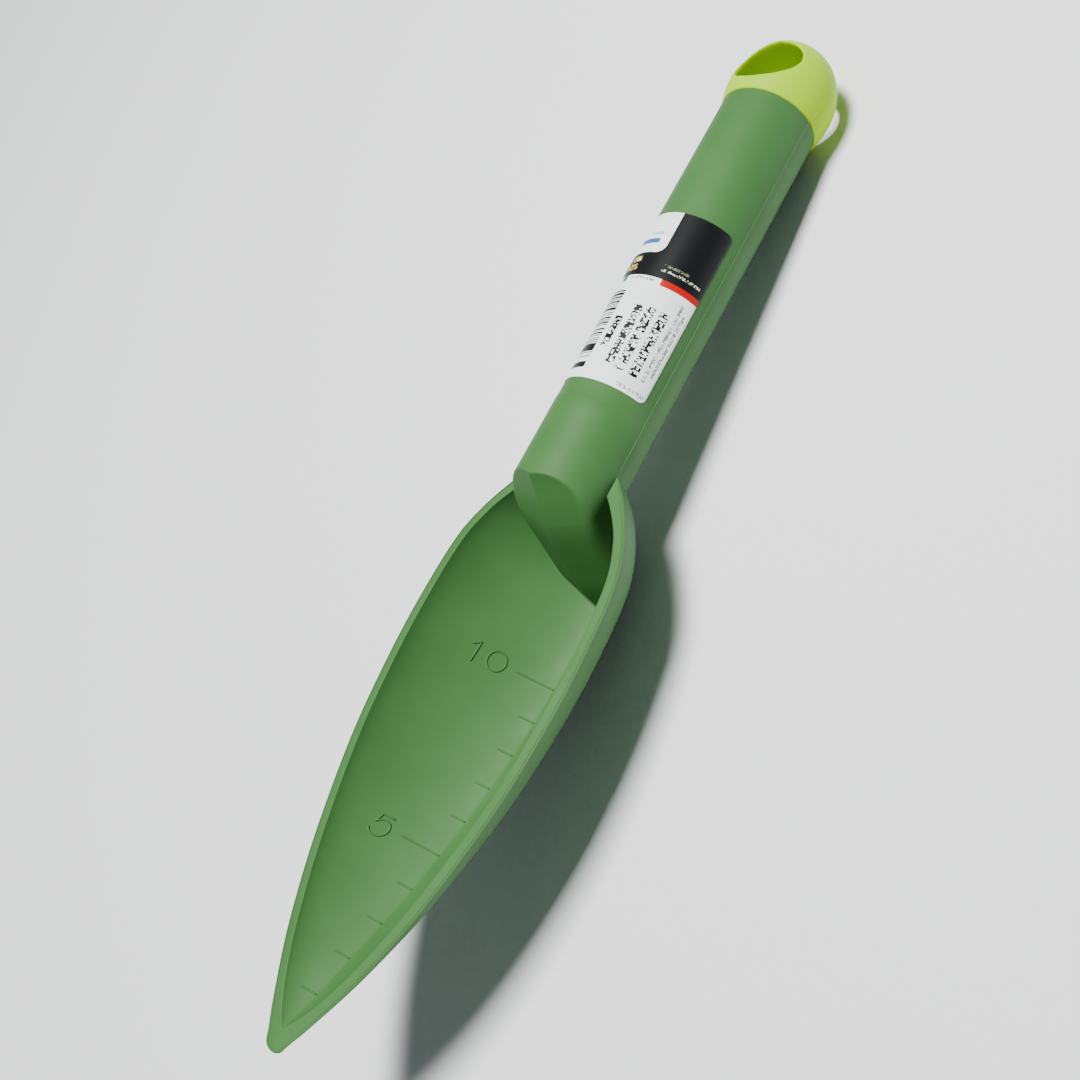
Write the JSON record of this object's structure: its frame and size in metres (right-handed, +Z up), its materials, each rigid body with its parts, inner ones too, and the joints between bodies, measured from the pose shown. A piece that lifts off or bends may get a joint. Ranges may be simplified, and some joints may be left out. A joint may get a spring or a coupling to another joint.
{
  "type": "hand trowel",
  "caption": "Narrow hand trowel with a deep, keeled, pointed blade moulded in one with its tubular handle, a domed end cap with a hanging hole, and a wrapped label.",
  "frame": {"origin": "centre of the bounding box in X and Y, on the ground, with the trowel lying on its back on the keel of the blade and the end cap", "axes": "+Y from the blade's tip to the end cap, +Z up out of the open side of the blade, +X to the right of the blade seen from above with the cap away from the viewer"},
  "size_m": [0.0608, 0.2872, 0.048],
  "materials": {
    "olive_plastic": "satin moulded plastic",
    "lime_plastic": "semi-gloss moulded plastic",
    "label_film": "printed film"
  },
  "bodies": {
    "root": {"trowel_body": "olive_plastic", "end_cap": "lime_plastic", "label": "label_film"}
  },
  "joints": []
}
